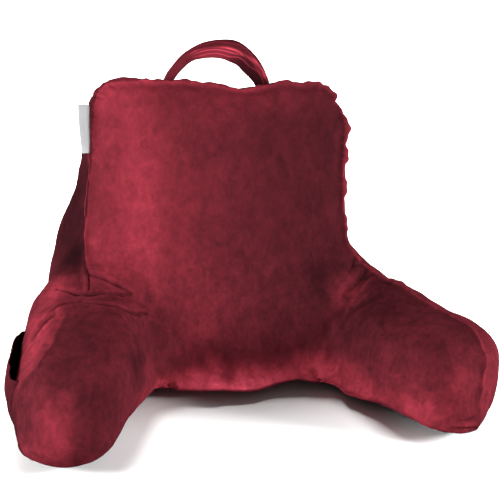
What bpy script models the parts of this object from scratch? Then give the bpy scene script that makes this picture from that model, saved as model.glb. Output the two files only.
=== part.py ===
"""A reading pillow with arms, in velvet: a backrest and two bolster arms in one filled cover, a strap
handle on top, a pocket on the outside of the left arm and a blank tab in the left seam.

Metres, +Z up. The front faces -Y, +X is the right side as the photograph shows it, and the origin is on
the floor under the middle of the backrest."""

import math
from collections import namedtuple

import bmesh
import bpy
import numpy as np
from mathutils import Vector
from mathutils.bvhtree import BVHTree

# Driving dimensions.
RECLINE = math.radians(22)  # how far the front panel leans back
PANEL_FOOT = Vector((0.0, -0.110, 0.0))  # where the front panel's plane meets the floor
PANEL_UP = Vector((0.0, math.sin(RECLINE), math.cos(RECLINE)))
PANEL_OUT = Vector((0.0, -math.cos(RECLINE), math.sin(RECLINE)))
SEWN_GAP = 0.0003  # between two pieces that touch
VOXEL = 0.0165  # the grain at which the filled body is blended into one skin
EVEN_ROUNDS = 5  # how often the blended skin is evened out
EVEN_PULL = 0.5  # and how strongly each time
FLOOR_DEPTH = 0.2  # the block that the floor cuts off

# The backrest, a row for each level up the slope. left and right are the front seams, crown is how far the
# front panel bulges between them, depth is front seam to back seam, flare is how much further out the back
# seam lies, and puff is how far the side strip bulges.
BackRow = namedtuple("BackRow", "up left right crown depth flare_left flare_right puff")
BACKREST = (
    BackRow(-0.060, -0.175, 0.175, 0.020, 0.250, 0.010, 0.010, 0.006),
    BackRow(-0.010, -0.190, 0.190, 0.036, 0.268, 0.018, 0.015, 0.010),
    BackRow(0.050, -0.225, 0.220, 0.050, 0.272, 0.030, 0.020, 0.014),
    BackRow(0.130, -0.248, 0.228, 0.054, 0.262, 0.030, 0.018, 0.012),
    BackRow(0.210, -0.243, 0.226, 0.052, 0.236, 0.023, 0.010, 0.006),
    BackRow(0.290, -0.235, 0.215, 0.048, 0.204, 0.007, 0.002, 0.002),
    BackRow(0.360, -0.229, 0.216, 0.045, 0.172, -0.007, -0.004, 0.000),
    BackRow(0.420, -0.227, 0.222, 0.040, 0.146, -0.019, -0.012, 0.000),
    BackRow(0.462, -0.227, 0.218, 0.032, 0.126, -0.027, -0.018, 0.000),
    BackRow(0.501, -0.219, 0.208, 0.020, 0.106, -0.029, -0.020, 0.000),
)
BACK_LEVELS = 34
BACK_CROWN = 0.022  # the bulge of the back panel
CROWN_POWER = 2.6  # 2 is a round bulge across the panel, more is flatter in the middle
# How the top seam rises and dips across the width.
TopRow = namedtuple("TopRow", "x rise")
TOP_SEAM = (
    TopRow(-0.235, -0.022),
    TopRow(-0.200, 0.006),
    TopRow(-0.165, 0.008),
    TopRow(-0.110, 0.000),
    TopRow(-0.060, 0.002),
    TopRow(0.000, -0.010),
    TopRow(0.050, -0.012),
    TopRow(0.110, 0.000),
    TopRow(0.170, -0.002),
    TopRow(0.215, -0.024),
)
TOP_WAVES_FROM = 0.38  # below this level up the slope the top seam's waves don't reach

# An arm, a row for each section along its axis, from inside the backrest to the tip. wide and high are
# half sizes, and square is the section's exponent: 2 is round.
ArmRow = namedtuple("ArmRow", "x y z wide high square")
LEFT_ARM = (
    ArmRow(-0.150, 0.100, 0.095, 0.080, 0.080, 2.6),
    ArmRow(-0.188, 0.020, 0.100, 0.094, 0.102, 2.8),
    ArmRow(-0.214, -0.070, 0.098, 0.108, 0.106, 3.0),
    ArmRow(-0.242, -0.165, 0.092, 0.110, 0.102, 3.0),
    ArmRow(-0.270, -0.250, 0.088, 0.095, 0.096, 3.0),
    ArmRow(-0.287, -0.312, 0.084, 0.083, 0.088, 3.0),
    ArmRow(-0.295, -0.352, 0.080, 0.067, 0.074, 2.8),
    ArmRow(-0.301, -0.376, 0.076, 0.032, 0.036, 2.4),
)
RIGHT_ARM = (
    ArmRow(0.140, 0.100, 0.090, 0.080, 0.080, 2.6),
    ArmRow(0.178, 0.020, 0.090, 0.092, 0.092, 2.8),
    ArmRow(0.214, -0.062, 0.086, 0.094, 0.092, 3.0),
    ArmRow(0.255, -0.137, 0.084, 0.092, 0.088, 3.1),
    ArmRow(0.296, -0.207, 0.084, 0.090, 0.087, 3.1),
    ArmRow(0.330, -0.265, 0.083, 0.088, 0.087, 3.2),
    ArmRow(0.351, -0.303, 0.080, 0.078, 0.078, 3.2),
    ArmRow(0.363, -0.324, 0.077, 0.044, 0.043, 2.6),
)
# Where an arm's inner side meets the front panel the skin is softened along a line, from the top of the
# arm down towards the floor.
HOLLOWS = (
    ((-0.205, -0.110, 0.205), (-0.160, -0.130, 0.150), (-0.145, -0.140, 0.120)),
    ((0.190, -0.105, 0.195), (0.155, -0.130, 0.140), (0.145, -0.140, 0.110)),
)
HOLLOW_REACH = 0.110
HOLLOW_ROUNDS = 80
HOLLOW_PULL = 0.6  # how strongly each round softens on the line itself

# The seam round the front panel goes on from the backrest along each arm: over its top, out to the side
# and down round the tip. It stands proud as a soft ridge that ripples.
LEFT_ARM_SEAM = (
    (-0.360, -0.320, 0.015), (-0.366, -0.295, 0.090), (-0.345, -0.297, 0.155),
    (-0.309, -0.240, 0.181), (-0.277, -0.175, 0.192), (-0.251, -0.140, 0.197),
)
RIGHT_ARM_SEAM = (
    (0.232, -0.050, 0.190), (0.268, -0.085, 0.172), (0.310, -0.184, 0.170),
    (0.348, -0.250, 0.166), (0.360, -0.305, 0.130), (0.353, -0.322, 0.070), (0.355, -0.312, 0.015),
)
SEAM_FROM = 0.20  # the lowest level up the slope where the backrest's side seams show
SEAM_LIFT = 0.006
SEAM_WIDE = 0.013
RIPPLE_DEEP = 0.45  # as a share of the lift
RIPPLE_LONG = 0.050
SEAM_SETTLE = 0.4  # how far the finished relief is evened out
SEAM_STEPS = 160
CREASE_STEPS = 12

# The main creases, as lines on the skin, where the cover is drawn in at the arms' roots.
Crease = namedtuple("Crease", "deep wide line")
CREASES = (
    Crease(0.008, 0.014, ((-0.291, -0.137, 0.192), (-0.240, -0.150, 0.195), (-0.181, -0.138, 0.182))),
    Crease(0.007, 0.013, ((-0.248, -0.181, 0.192), (-0.203, -0.190, 0.185), (-0.156, -0.151, 0.155))),
    Crease(0.005, 0.012, ((-0.246, -0.105, 0.205), (-0.217, -0.118, 0.200), (-0.185, -0.130, 0.190))),
    Crease(0.008, 0.016, ((0.260, -0.062, 0.172), (0.222, -0.091, 0.175), (0.189, -0.124, 0.161))),
    Crease(0.004, 0.014, ((0.222, -0.145, 0.166), (0.175, -0.146, 0.137))),
)

# The strap handle, a row for each place along the middle of its width, from its left foot to its right:
# turn is how far the strap's face is turned about its own run at its rear edge, and bend how much further
# at its front edge, where the strap hangs down.
StrapRow = namedtuple("StrapRow", "x z turn bend wide thick")
HANDLE_Y = 0.108
HANDLE = (
    StrapRow(-0.1000, 0.4200, 12, 0, 0.030, 0.0095),
    StrapRow(-0.0880, 0.4550, 10, 0, 0.030, 0.0090),
    StrapRow(-0.0767, 0.4760, 8, 0, 0.031, 0.0085),
    StrapRow(-0.0570, 0.4985, 6, 10, 0.033, 0.0080),
    StrapRow(-0.0290, 0.5130, 5, 45, 0.036, 0.0075),
    StrapRow(0.0040, 0.5165, 5, 80, 0.043, 0.0075),
    StrapRow(0.0310, 0.5100, 5, 95, 0.049, 0.0075),
    StrapRow(0.0550, 0.4930, 0, 100, 0.050, 0.0080),
    StrapRow(0.0725, 0.4700, -5, 100, 0.044, 0.0085),
    StrapRow(0.0845, 0.4450, -10, 95, 0.037, 0.0090),
    StrapRow(0.0915, 0.4200, -15, 90, 0.033, 0.0095),
)
BEND_TIGHT = 2.2  # how much of the bend is in the middle of the width
BEND_PLACES = 41

STRAP_EDGES = 0.6  # powers that make the strap's section a flat with rounded edges: 1 and 1 is an ellipse
STRAP_FACES = 0.8

# The pocket on the outside of the left arm: a patch sewn along its bottom and both ends, whose mouth gapes.
# front and back are places along the arm's table, 0 to 1, and foot and mouth are heights.
POCKET_FRONT = 0.680
POCKET_BACK = 0.430
POCKET_FOOT = 0.030
POCKET_MOUTH = 0.126
POCKET_GAPE = 0.021  # how far the mouth stands off at its middle
GAPE_ROUND = 0.7  # how soon it closes towards the pocket's ends: 1 is a half sine, less is fuller
GAPE_FALL = 0.55  # how soon it closes towards the foot: 1 is evenly, less is later
ARM_PLACES = 101  # how finely the arm's table is read for the pocket
CLOTH = 0.002

# The blank tab in the left seam.
TAB_TOP = 0.464  # up the slope
TAB_LONG = 0.085
TAB_WIDE = 0.019
TAB_SEWN = 0.012  # how far its sewn edge reaches into the seam, before it is trimmed to the skin
TAB_THICK = 0.0012
TAB_CURL = 0.008  # how far its lower outer corner curls back
TAB_NARROWS = 0.25  # how much of its width it loses towards its lower end


def srgb(red, green, blue):
    """A colour given by its 0 to 255 values on screen, as the linear values that a shader takes."""
    return tuple(((c / 255 + 0.055) / 1.055) ** 2.4 for c in (red, green, blue)) + (1.0,)


def clear_scene():
    for thing in list(bpy.data.objects):
        bpy.data.objects.remove(thing, do_unlink=True)


def material(name, colour, roughness):
    made = bpy.data.materials.new(name)
    made.use_nodes = True
    shader = made.node_tree.nodes["Principled BSDF"]
    shader.inputs["Base Color"].default_value = colour
    shader.inputs["Roughness"].default_value = roughness
    shader.inputs["Metallic"].default_value = 0.0
    return made


def add_object(name, mesh):
    made = bpy.data.objects.new(name, mesh)
    bpy.context.scene.collection.objects.link(made)
    return made


def as_cutter(thing):
    thing.hide_render = True
    thing.display_type = "WIRE"
    return thing


def along(rows, count):
    """The table's columns at evenly spaced places along it, on a Catmull-Rom curve through its rows."""
    table = np.array(rows, float)
    last = len(table) - 1
    place = np.linspace(0, last, count)
    start = np.minimum(place.astype(int), last - 1)
    t = (place - start)[:, None]
    a, b, c, d = (table[np.clip(start + k, 0, last)] for k in (-1, 0, 1, 2))
    return 0.5 * (2 * b + (c - a) * t + (2 * a - 5 * b + 4 * c - d) * t**2 + (3 * b - a - 3 * c + d) * t**3)


def loft(mesh, rings):
    """Joins rings of points into one closed skin, with a flat face over each end."""
    loops = [[mesh.verts.new(point) for point in ring] for ring in rings]
    for low, high in zip(loops, loops[1:]):
        for k in range(len(low)):
            mesh.faces.new((low[k - 1], low[k], high[k], high[k - 1]))
    ends = [mesh.faces.new(loops[0]), mesh.faces.new(list(reversed(loops[-1])))]
    bmesh.ops.triangulate(mesh, faces=ends)


def back_ring(row, across=22, deep=8):
    """One level of the backrest: front panel, right side strip, back panel and left side strip."""
    u = np.linspace(-1, 1, across, endpoint=False)
    v = np.linspace(0, 1, deep, endpoint=False)
    middle, half = (row.left + row.right) / 2, (row.right - row.left) / 2
    bulge = 1 - np.abs(u) ** CROWN_POWER
    back_left, back_right = row.left - row.flare_left, row.right + row.flare_right
    side = row.puff * np.sin(np.pi * v)
    x = np.concatenate([
        middle + half * u,
        row.right + (back_right - row.right) * v + side,
        (back_left + back_right) / 2 - (back_right - back_left) / 2 * u,
        back_left + (row.left - back_left) * v - side,
    ])
    out = np.concatenate([
        row.crown * bulge,
        -row.depth * v,
        -row.depth - BACK_CROWN * bulge,
        row.depth * (v - 1),
    ])
    rise = np.interp(x, [r.x for r in TOP_SEAM], [r.rise for r in TOP_SEAM])
    share = max(0.0, (row.up - TOP_WAVES_FROM) / (BACKREST[-1].up - TOP_WAVES_FROM))
    up = row.up + rise * share**2
    return [PANEL_FOOT + Vector((a, 0, 0)) + PANEL_UP * b + PANEL_OUT * c for a, b, c in zip(x, up, out)]


def arm_rings(rows, count=30, around=28):
    """Superellipse sections, each square to the arm's axis in plan."""
    table = along(rows, count)
    run = np.gradient(table[:, :2], axis=0)
    run /= np.linalg.norm(run, axis=1)[:, None]
    angle = np.linspace(0, 2 * np.pi, around, endpoint=False)
    rings = []
    for (x, y, z, wide, high, square), (dx, dy) in zip(table, run):
        c, s = np.cos(angle), np.sin(angle)
        side = wide * np.sign(c) * np.abs(c) ** (2 / square)
        rise = high * np.sign(s) * np.abs(s) ** (2 / square)
        rings.append([Vector((x - dy * a, y + dx * a, z + b)) for a, b in zip(side, rise)])
    return rings


def floor_block():
    mesh = bmesh.new()
    bmesh.ops.create_cube(mesh, size=2.0)
    bmesh.ops.scale(mesh, verts=mesh.verts, vec=(1, 1, FLOOR_DEPTH / 2))
    bmesh.ops.translate(mesh, verts=mesh.verts, vec=(0, 0, -FLOOR_DEPTH / 2))
    data = bpy.data.meshes.new("floor_block")
    mesh.to_mesh(data)
    mesh.free()
    return as_cutter(add_object("floor_block", data))


def joined_lofts():
    """The backrest and both arms as one mesh of three overlapping lofts."""
    mesh = bmesh.new()
    loft(mesh, [back_ring(BackRow(*row)) for row in along(BACKREST, BACK_LEVELS)])
    loft(mesh, arm_rings(LEFT_ARM))
    loft(mesh, arm_rings(RIGHT_ARM))
    bmesh.ops.recalc_face_normals(mesh, faces=mesh.faces)
    data = bpy.data.meshes.new("lofts")
    mesh.to_mesh(data)
    mesh.free()
    return data


def evaluated_copy(thing, name):
    """The object's mesh as its modifiers leave it."""
    depsgraph = bpy.context.evaluated_depsgraph_get()
    data = bpy.data.meshes.new_from_object(thing.evaluated_get(depsgraph))
    data.name = name
    return data


def blended_skin():
    """The three lofts remeshed into one even skin and lightly smoothed."""
    lofts = add_object("lofts", joined_lofts())
    remesh = lofts.modifiers.new("one_skin", "REMESH")
    remesh.mode = "VOXEL"
    remesh.voxel_size = VOXEL
    smooth = lofts.modifiers.new("soft", "SMOOTH")
    smooth.factor = EVEN_PULL
    smooth.iterations = EVEN_ROUNDS
    skin = evaluated_copy(lofts, "skin")
    bpy.data.objects.remove(lofts, do_unlink=True)
    return skin


def points_of(mesh):
    points = np.empty(len(mesh.vertices) * 3)
    mesh.vertices.foreach_get("co", points)
    return points.reshape(-1, 3)


def to_line(points, line):
    """Each point's distance to a line of straight stretches, and how far along the line it is nearest."""
    line = np.array(line, float)
    nearest = np.full(len(points), np.inf)
    place = np.zeros(len(points))
    before = 0.0
    for start, end in zip(line, line[1:]):
        run = end - start
        long = np.linalg.norm(run)
        share = np.clip((points - start) @ run / long**2, 0, 1)
        away = np.linalg.norm(points - start - share[:, None] * run, axis=1)
        place = np.where(away < nearest, before + share * long, place)
        nearest = np.minimum(nearest, away)
        before += long
    return nearest, place


def on_skin(line, skin, count):
    """A smooth line through the given points, laid on the skin."""
    return [skin.find_nearest(Vector(point))[0] for point in along(line, count)]


def panel_seam():
    """The front panel's whole seam, from the tip of the left arm over the backrest to the right tip."""
    sides = [row for row in BACKREST if row.up > SEAM_FROM]
    level = BACKREST[-1].up

    def place(x, up):
        return tuple(PANEL_FOOT + Vector((x, 0, 0)) + PANEL_UP * up)

    left = [place(row.left, row.up) for row in sides[:-1]]
    inner = [row for row in TOP_SEAM if sides[-1].left < row.x < sides[-1].right]
    top = [place(row.x, level + row.rise) for row in inner]
    right = [place(row.right, row.up) for row in reversed(sides[:-1])]
    return list(LEFT_ARM_SEAM) + left + top + right + list(RIGHT_ARM_SEAM)


def soften(points, edges, weight, rounds):
    """Moves each point towards the middle of its neighbours by its weight, a number of times."""
    count = np.bincount(edges.ravel(), minlength=len(points))[:, None]
    for _ in range(rounds):
        total = np.zeros_like(points)
        np.add.at(total, edges[:, 0], points[edges[:, 1]])
        np.add.at(total, edges[:, 1], points[edges[:, 0]])
        points = points + weight[:, None] * (total / count - points)
    return points


def relief(points, skin):
    """How far each point stands out for the seam's rippled ridge, less the depth of the creases."""
    away, place = to_line(points, on_skin(panel_seam(), skin, SEAM_STEPS))
    ripple = 1 + RIPPLE_DEEP * np.sin(2 * np.pi * place / RIPPLE_LONG)
    out = SEAM_LIFT * ripple * np.exp(-((away / SEAM_WIDE) ** 2))
    for crease in CREASES:
        away, _ = to_line(points, on_skin(crease.line, skin, CREASE_STEPS))
        out -= crease.deep * np.exp(-((away / crease.wide) ** 2))
    return out


def shaped_skin():
    """The blended skin with the hollows at the arms' roots softened, then its seam and creases."""
    skin = blended_skin()
    points = points_of(skin)
    edges = np.empty(len(skin.edges) * 2, int)
    skin.edges.foreach_get("vertices", edges)
    edges = edges.reshape(-1, 2)
    near = np.min([to_line(points, line)[0] for line in HOLLOWS], axis=0)
    weight = HOLLOW_PULL * np.clip(1 - (near / HOLLOW_REACH) ** 2, 0, 1)
    points = soften(points, edges, weight, HOLLOW_ROUNDS)
    skin.vertices.foreach_set("co", points.ravel())
    skin.update()
    normals = np.empty(len(points) * 3)
    skin.vertices.foreach_get("normal", normals)
    out = relief(points, tree_of(skin))
    raised = points + normals.reshape(-1, 3) * out[:, None]
    points = soften(raised, edges, np.full(len(points), SEAM_SETTLE), 1)
    skin.vertices.foreach_set("co", points.ravel())
    skin.update()
    return skin


def tree_of(mesh):
    return BVHTree.FromPolygons([v.co for v in mesh.vertices], [tuple(f.vertices) for f in mesh.polygons])


def cut(thing, cutter):
    boolean = thing.modifiers.new(cutter.name, "BOOLEAN")
    boolean.operation = "DIFFERENCE"
    boolean.solver = "EXACT"
    boolean.object = cutter


def build_body(skin, velvet, floor):
    body = add_object("pillow_body", skin)
    cut(body, floor)
    body.data.materials.append(velvet)


def body_clearance(skin):
    """The body's skin a sewn gap further out, which trims what is sewn onto it."""
    clearance = as_cutter(add_object("body_clearance", skin.copy()))
    grow = clearance.modifiers.new("gap", "DISPLACE")
    grow.strength = SEWN_GAP
    grow.mid_level = 0.0
    return clearance


def bent_width(wide, turn, bend, sides):
    """Where each share of the strap's width, from -1 at the front edge to 1 at the rear edge, lies on its
    bent middle line: how far towards the rear, how far off the strap's face, and the angle there."""
    share = np.linspace(-1, 1, BEND_PLACES)
    angle = np.radians(turn + bend / 2 * (1 - np.tanh(BEND_TIGHT * share) / np.tanh(BEND_TIGHT)))
    step = wide / 2 * np.diff(share)
    found = []
    for slope in (np.cos(angle), np.sin(angle)):
        place = np.concatenate([[0], np.cumsum((slope[1:] + slope[:-1]) / 2 * step)])
        found.append(np.interp(sides, share, place - place[BEND_PLACES // 2]))
    return *found, np.interp(sides, share, angle)


def build_handle(velvet, clearance, count=40, around=16):
    """A flat strap with rounded edges, swept along its table, turned and bent as the table says."""
    table = along(HANDLE, count)
    line = np.stack([table[:, 0], np.full(count, HANDLE_Y), table[:, 1]], axis=1)
    theta = np.linspace(0, 2 * np.pi, around, endpoint=False)
    c, s = np.cos(theta), np.sin(theta)
    side = np.sign(c) * np.abs(c) ** STRAP_EDGES
    rise = np.sign(s) * np.abs(s) ** STRAP_FACES
    broad = Vector((0, 1, 0))
    rings = []
    for spot, way, (turn, bend, wide, thick) in zip(line, np.gradient(line, axis=0), table[:, 2:]):
        flat = Vector(way).cross(broad).normalized()
        back, off, angle = bent_width(wide, turn, bend, side)
        back = back - np.sin(angle) * thick / 2 * rise
        off = off + np.cos(angle) * thick / 2 * rise
        rings.append([Vector(spot) + broad * a + flat * b for a, b in zip(back, off)])
    mesh = bmesh.new()
    loft(mesh, rings)
    bmesh.ops.recalc_face_normals(mesh, faces=mesh.faces)
    data = bpy.data.meshes.new("handle")
    mesh.to_mesh(data)
    mesh.free()
    handle = add_object("handle", data)
    cut(handle, clearance)
    handle.data.materials.append(velvet)


def sheet_solid(name, inner, outer):
    """A closed sheet between two grids of points, one row of points for each row of the grid."""
    mesh = bmesh.new()
    faces = [[[mesh.verts.new(point) for point in row] for row in grid] for grid in (inner, outer)]
    low, high = faces
    rows, columns = len(low), len(low[0])
    for grid in faces:
        for i in range(rows - 1):
            for j in range(columns - 1):
                mesh.faces.new((grid[i][j], grid[i + 1][j], grid[i + 1][j + 1], grid[i][j + 1]))
    rim = [(i, 0) for i in range(rows)] + [(rows - 1, j) for j in range(1, columns)]
    rim += [(i, columns - 1) for i in range(rows - 2, -1, -1)] + [(0, j) for j in range(columns - 2, 0, -1)]
    for (i, j), (k, m) in zip(rim, rim[1:] + rim[:1]):
        mesh.faces.new((low[i][j], low[k][m], high[k][m], high[i][j]))
    bmesh.ops.recalc_face_normals(mesh, faces=mesh.faces)
    data = bpy.data.meshes.new(name)
    mesh.to_mesh(data)
    mesh.free()
    return add_object(name, data)


def build_pocket(velvet, skin, clearance, across=22, tall=12):
    """The patch lies on the arm's outer side, found by looking out from the arm's axis, and its upper edge
    stands away from the arm in the middle."""
    tree = tree_of(skin)
    table = along(LEFT_ARM, ARM_PLACES)
    run = np.gradient(table[:, :2], axis=0)
    inner, outer = [], []
    for i in range(across):
        share = i / (across - 1)
        place = round((POCKET_BACK + share * (POCKET_FRONT - POCKET_BACK)) * (len(table) - 1))
        x, y, z, wide = table[place, :4]
        dx, dy = run[place] / np.linalg.norm(run[place])
        outward = Vector((dy, -dx, 0))
        low, high = [], []
        for j in range(tall):
            up = j / (tall - 1)
            level = POCKET_FOOT + up * (POCKET_MOUTH - POCKET_FOOT)
            look = (outward * wide + Vector((0, 0, level - z))).normalized()
            spot, normal = tree.ray_cast(Vector((x, y, z)), look)[:2]
            gape = POCKET_GAPE * math.sin(math.pi * share) ** GAPE_ROUND * up**GAPE_FALL
            base = spot + outward * gape
            low.append(base - normal * SEWN_GAP)
            high.append(base + normal.lerp(outward, up) * (CLOTH + SEWN_GAP))
        inner.append(low)
        outer.append(high)
    pocket = sheet_solid("arm_pocket", inner, outer)
    cut(pocket, clearance)
    pocket.data.materials.append(velvet)


def build_tab(woven, clearance, rows=9, columns=5):
    """A small flat tab caught in the left seam, standing out sideways, its lower corner curled back."""
    inner, outer = [], []
    for i in range(rows):
        down = i / (rows - 1)
        up = TAB_TOP - down * TAB_LONG
        seam = np.interp(up, [row.up for row in BACKREST], [row.left for row in BACKREST])
        low, high = [], []
        for j in range(columns):
            out = j / (columns - 1)
            x = seam + TAB_SEWN - out * (TAB_WIDE + TAB_SEWN) * (1 - TAB_NARROWS * down**2)
            curl = TAB_CURL * down**2 * out**2
            spot = PANEL_FOOT + Vector((x, 0, 0)) + PANEL_UP * up - PANEL_OUT * curl
            low.append(spot - PANEL_OUT * TAB_THICK / 2)
            high.append(spot + PANEL_OUT * TAB_THICK / 2)
        inner.append(low)
        outer.append(high)
    tab = sheet_solid("label_tab", inner, outer)
    cut(tab, clearance)
    tab.data.materials.append(woven)


clear_scene()
VELVET = material("velvet", srgb(128, 34, 46), 0.85)
WOVEN = material("woven_tab", srgb(178, 178, 180), 0.9)
SKIN = shaped_skin()
build_body(SKIN, VELVET, floor_block())
CLEARANCE = body_clearance(SKIN)
build_handle(VELVET, CLEARANCE)
build_pocket(VELVET, SKIN, CLEARANCE)
build_tab(WOVEN, CLEARANCE)
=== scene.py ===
"""The looks of a reading pillow with arms: a filled velvet cover, a strap handle, a side pocket and a
blank woven tab, on a plain pale floor. Metres, +Z up, the front facing -Y."""

import math
from collections import namedtuple

import bmesh
import bpy
import numpy as np
from mathutils import Matrix, Vector
from mathutils.bvhtree import BVHTree


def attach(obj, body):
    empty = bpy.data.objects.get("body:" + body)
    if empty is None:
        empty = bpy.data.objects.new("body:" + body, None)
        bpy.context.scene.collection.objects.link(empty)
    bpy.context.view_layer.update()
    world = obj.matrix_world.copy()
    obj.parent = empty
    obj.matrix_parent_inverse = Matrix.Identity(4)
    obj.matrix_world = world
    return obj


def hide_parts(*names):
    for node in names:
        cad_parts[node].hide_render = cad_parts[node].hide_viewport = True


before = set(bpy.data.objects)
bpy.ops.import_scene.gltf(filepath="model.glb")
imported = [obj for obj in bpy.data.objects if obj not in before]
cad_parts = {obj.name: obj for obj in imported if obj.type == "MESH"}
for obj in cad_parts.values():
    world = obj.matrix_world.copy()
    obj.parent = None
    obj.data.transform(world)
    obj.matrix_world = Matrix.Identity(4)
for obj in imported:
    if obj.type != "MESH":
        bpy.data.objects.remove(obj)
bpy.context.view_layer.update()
scene = bpy.context.scene

# ---------------------------------------------------------------------------------------------- camera
# The photograph looks down on the pillow from a little to its left, with the picture turned slightly
# clockwise. A long lens stands a good two metres away.

LOOK_AT = Vector((0.045, -0.020, 0.200))
LOOK_AROUND = math.radians(-15)
LOOK_DOWN = math.radians(25)
PICTURE_TURN = math.radians(5)
CAMERA_AWAY = 2.3
PICTURE_WIDE = 500 / 590  # metres across the picture at the point looked at
SENSOR = 36.0

back = Vector((
    math.sin(LOOK_AROUND) * math.cos(LOOK_DOWN),
    -math.cos(LOOK_AROUND) * math.cos(LOOK_DOWN),
    math.sin(LOOK_DOWN),
))
level = Vector((math.cos(LOOK_AROUND), math.sin(LOOK_AROUND), 0))
upward = back.cross(level)
across = math.cos(PICTURE_TURN) * level + math.sin(PICTURE_TURN) * upward
camera = bpy.data.objects.new("camera", bpy.data.cameras.new("camera"))
camera.data.sensor_width = SENSOR
camera.data.lens = SENSOR * CAMERA_AWAY / PICTURE_WIDE
turn = Matrix((across, back.cross(across), back)).transposed()
camera.matrix_world = Matrix.Translation(LOOK_AT + CAMERA_AWAY * back) @ turn.to_4x4()
scene.collection.objects.link(camera)
scene.camera = camera

# ---------------------------------------------------------------------------------------------- studio
# A plain white floor. Two large soft lights stand low at the sides, flagged off the floor, and one behind
# lights the top's edge. The floor has its own lights, one high behind the backrest and one low on each
# side, so that the shadow lies close under the panel's lower edge and the arms.

FLOOR_REACH = 25.0
FLOOR_COLOUR = (0.90, 0.90, 0.90, 1)
WORLD_STRENGTH = 0.10


class Wire:
    """A socket's value in a shader. Sums, differences and products of wires become Math nodes."""

    def __init__(self, finish, socket):
        self.finish = finish
        self.socket = socket

    def math(self, operation, first, second):
        return self.finish.node("ShaderNodeMath", {"operation": operation}, {0: first, 1: second})

    def __add__(self, other):
        return self.math("ADD", self, other)

    def __sub__(self, other):
        return self.math("SUBTRACT", self, other)

    def __mul__(self, other):
        return self.math("MULTIPLY", self, other)

    def __rsub__(self, other):
        return self.math("SUBTRACT", other, self)

    __radd__ = __add__
    __rmul__ = __mul__


class Finish:
    """A material built node by node, with a Principled shader that is set from plain values."""

    def __init__(self, name, **values):
        self.material = bpy.data.materials.new(name)
        self.material.use_nodes = True
        self.tree = self.material.node_tree
        self.shader = self.tree.nodes["Principled BSDF"]
        for socket, value in values.items():
            self.shader.inputs[socket.replace("_", " ")].default_value = value

    def node(self, kind, settings, inputs, output=0):
        """Adds a node: its settings first, then each input from a value or a wire. A ramp's stops are
        pairs of place and colour."""
        made = self.tree.nodes.new(kind)
        for name, value in settings.items():
            if name == "stops":
                ramp = made.color_ramp
                while len(ramp.elements) < len(value):
                    ramp.elements.new(0.5)
                for element, (place, colour) in zip(ramp.elements, value):
                    element.position = place
                    element.color = (*colour, 1.0)
            else:
                setattr(made, name, value)
        for name, value in inputs.items():
            if isinstance(value, Wire):
                self.tree.links.new(value.socket, made.inputs[name])
            else:
                made.inputs[name].default_value = value
        return Wire(self, made.outputs[output])

    def drive(self, socket, wire):
        self.tree.links.new(wire.socket, self.shader.inputs[socket])


floor_mesh = bpy.data.meshes.new("studio_floor")
corners = [(x * FLOOR_REACH, y * FLOOR_REACH, 0) for x, y in ((-1, -1), (1, -1), (1, 1), (-1, 1))]
floor_mesh.from_pydata(corners, [], [(0, 1, 2, 3)])
floor_paint = Finish("studio_floor", Base_Color=FLOOR_COLOUR, Roughness=0.9)
floor_mesh.materials.append(floor_paint.material)
floor = bpy.data.objects.new("studio_floor", floor_mesh)
scene.collection.objects.link(floor)


def soft_light(name, place, aim, size, power, floor_link=None):
    """A square light of that size, facing the point it aims at. The link EXCLUDE keeps it off the floor,
    and INCLUDE keeps it off everything else."""
    lamp = bpy.data.objects.new(name, bpy.data.lights.new(name, "AREA"))
    lamp.data.size = size
    lamp.data.energy = power
    way = Vector(place) - Vector(aim)
    lamp.matrix_world = Matrix.Translation(place) @ way.to_track_quat("Z", "Y").to_matrix().to_4x4()
    scene.collection.objects.link(lamp)
    if floor_link:
        linked = bpy.data.collections.new(name)
        linked.objects.link(floor)
        linked.collection_objects[0].light_linking.link_state = floor_link
        lamp.light_linking.receiver_collection = linked


soft_light("left_softbox", (-2.4, -0.9, 1.0), (0, 0, 0.1), 1.1, 208, "EXCLUDE")
soft_light("right_softbox", (2.4, -0.9, 1.0), (0, 0, 0.1), 1.1, 208, "EXCLUDE")
soft_light("rear_softbox", (-0.3, 3.6, 2.2), (0, 1.4, 0), 2.0, 230)
soft_light("floor_softbox", (-0.1, 1.3, 2.4), (0, 0, 0), 1.1, 150, "INCLUDE")
soft_light("floor_right_softbox", (2.4, -0.95, 0.8), (0, 0, 0), 0.6, 165, "INCLUDE")
soft_light("floor_left_softbox", (-2.4, -0.55, 0.65), (0, 0, 0), 0.5, 130, "INCLUDE")

scene.world = bpy.data.worlds.new("studio")
scene.world.use_nodes = True
sky = scene.world.node_tree.nodes["Background"]
sky.inputs["Color"].default_value = (1, 1, 1, 1)
sky.inputs["Strength"].default_value = WORLD_STRENGTH
scene.view_settings.view_transform = "Standard"

# ----------------------------------------------------------------------------------------------- cover
# The cover is brushed polyester velvet over a full fibre filling: a front panel that runs on over the
# arms' tops and inner sides, a strip round the outside, and a back panel. The front panel's seam is
# sewn by machine, and the strip is gathered a little into it.

Place = namedtuple("Place", "x y z")
LEFT_ARM_SEAM = (
    Place(-0.350, -0.342, 0.000), Place(-0.362, -0.330, 0.050), Place(-0.364, -0.322, 0.095),
    Place(-0.358, -0.312, 0.139), Place(-0.341, -0.305, 0.161), Place(-0.317, -0.277, 0.175),
    Place(-0.294, -0.221, 0.187), Place(-0.272, -0.165, 0.190), Place(-0.251, -0.138, 0.190),
    Place(-0.243, -0.100, 0.198), Place(-0.238, -0.058, 0.208),
)
RIGHT_ARM_SEAM = (
    Place(0.240, -0.050, 0.190), Place(0.268, -0.085, 0.172), Place(0.310, -0.184, 0.170),
    Place(0.348, -0.250, 0.166), Place(0.360, -0.305, 0.130), Place(0.353, -0.322, 0.070),
    Place(0.355, -0.312, 0.000),
)
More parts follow.
